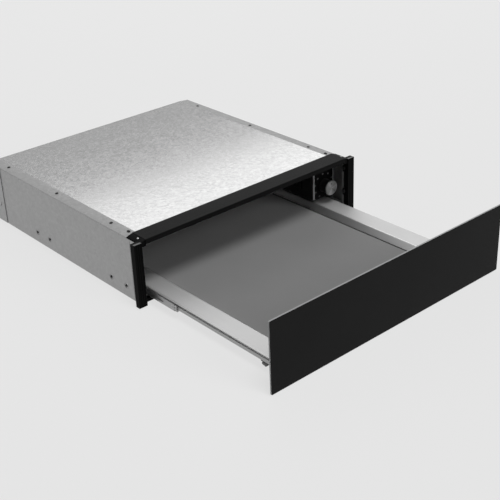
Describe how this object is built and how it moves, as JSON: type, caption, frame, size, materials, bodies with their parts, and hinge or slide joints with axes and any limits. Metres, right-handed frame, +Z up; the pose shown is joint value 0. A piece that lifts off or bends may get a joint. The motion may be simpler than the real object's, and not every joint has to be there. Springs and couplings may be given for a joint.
{
  "type": "built-in warming drawer",
  "caption": "Low built-in warming drawer on telescopic runners: sheet-steel casing, black front frame, dark glass front, sunk tray with anti-slip mat, dial and a fan heater along the right side.",
  "frame": {"origin": "middle of the casing's underside, half way between its front flange and its rear face", "axes": "+Z up, the glass front faces -Y, the dial is towards +X"},
  "size_m": [0.594, 0.9373, 0.1416],
  "materials": {
    "galvanised": "spangled zinc-coated sheet steel, satin",
    "stainless": "stainless steel, glossy on the tray, brushed on the knob",
    "bare_steel": "rolled steel, thin bright zinc",
    "frame_black": "black, satin",
    "front_glass": "black-backed glass, smooth",
    "dark_plastic": "black moulded plastic",
    "mat_grey": "grey anti-slip mat, dull",
    "pale_plastic": "natural white moulded plastic"
  },
  "bodies": {
    "casing": {"base_plate": "galvanised", "top_cover": "galvanised", "rear_panel": "galvanised", "side_panel_left": "galvanised", "side_panel_right": "galvanised", "top_rail": "frame_black", "bottom_sill": "frame_black", "column_left": "frame_black", "column_right": "frame_black", "runner_outer_left": "bare_steel", "runner_outer_right": "bare_steel", "runner_bracket_front_left": "galvanised", "runner_bracket_rear_left": "galvanised", "runner_bracket_front_right": "galvanised", "runner_bracket_rear_right": "galvanised", "control_box": "dark_plastic", "dial_plate": "frame_black", "dial_strip_left": "stainless", "dial_strip_right": "stainless", "thermostat": "bare_steel", "air_guide_plate": "frame_black", "fan_motor": "bare_steel", "fan_bracket": "galvanised", "tube_heater": "bare_steel", "latch_case_left": "dark_plastic", "latch_case_right": "dark_plastic", "thermal_cutout": "bare_steel", "terminal_block": "pale_plastic", "cable_gland": "dark_plastic"},
    "middle_rails": {"runner_middle_left": "bare_steel", "runner_middle_right": "bare_steel", "runner_buffer_left": "pale_plastic", "runner_buffer_right": "pale_plastic"},
    "outer_cages": {"ball_cage_outer_left": "bare_steel", "ball_cage_outer_right": "bare_steel"},
    "inner_cages": {"ball_cage_inner_left": "bare_steel", "ball_cage_inner_right": "bare_steel"},
    "drawer": {"tray": "stainless", "anti_slip_mat": "mat_grey", "panel_carrier": "frame_black", "front_glass": "front_glass", "front_bracket_left": "galvanised", "front_bracket_right": "galvanised", "runner_inner_left": "bare_steel", "runner_inner_right": "bare_steel"},
    "lever_left": {"release_lever_left": "dark_plastic"},
    "lever_right": {"release_lever_right": "dark_plastic"},
    "dial_knob": {"knob": "dark_plastic", "knob_cap": "stainless", "knob_pointer": "dark_plastic", "thermostat_shaft": "bare_steel"},
    "plunger_left": {"latch_plunger_left": "pale_plastic"},
    "plunger_right": {"latch_plunger_right": "pale_plastic"},
    "fan": {"fan_wheel": "stainless"}
  },
  "joints": [
    {"name": "middle_rail_slide", "type": "slide", "parent": "casing", "child": "middle_rails", "axis": [0, -1, 0], "range_m": [-0.09, 0.09]},
    {"name": "drawer_slide", "type": "slide", "parent": "middle_rails", "child": "drawer", "axis": [0, -1, 0], "range_m": [-0.276, 0.004]},
    {"name": "outer_cage_slide", "type": "slide", "parent": "casing", "child": "outer_cages", "axis": [0, -1, 0], "range_m": [-0.045, 0.045]},
    {"name": "inner_cage_slide", "type": "slide", "parent": "middle_rails", "child": "inner_cages", "axis": [0, -1, 0], "range_m": [-0.138, 0.002]},
    {"name": "lever_left_pivot", "type": "hinge", "parent": "drawer", "child": "lever_left", "pos_m": [-0.2445, -0.591, 0.025], "axis": [1, 0, 0], "range_deg": [0, 25], "stiffness_Nm_per_rad": 0.05},
    {"name": "lever_right_pivot", "type": "hinge", "parent": "drawer", "child": "lever_right", "pos_m": [0.2445, -0.591, 0.025], "axis": [1, 0, 0], "range_deg": [0, 25], "stiffness_Nm_per_rad": 0.05},
    {"name": "dial_turn", "type": "hinge", "parent": "casing", "child": "dial_knob", "pos_m": [0.2415, -0.25, 0.07], "axis": [0, 1, 0], "range_deg": [0, 270]},
    {"name": "plunger_left_push", "type": "slide", "parent": "casing", "child": "plunger_left", "axis": [0, 1, 0], "range_m": [0, 0.005], "stiffness_N_per_m": 400},
    {"name": "plunger_right_push", "type": "slide", "parent": "casing", "child": "plunger_right", "axis": [0, 1, 0], "range_m": [0, 0.005], "stiffness_N_per_m": 400},
    {"name": "fan_spin", "type": "hinge", "parent": "casing", "child": "fan", "pos_m": [0.247, 0.0565, 0.084], "axis": [0, 1, 0], "continuous": true}
  ],
  "couplings": [
    {"joint": "outer_cage_slide", "follows": "middle_rail_slide", "ratio": 0.5},
    {"joint": "inner_cage_slide", "follows": "drawer_slide", "ratio": 0.5}
  ]
}
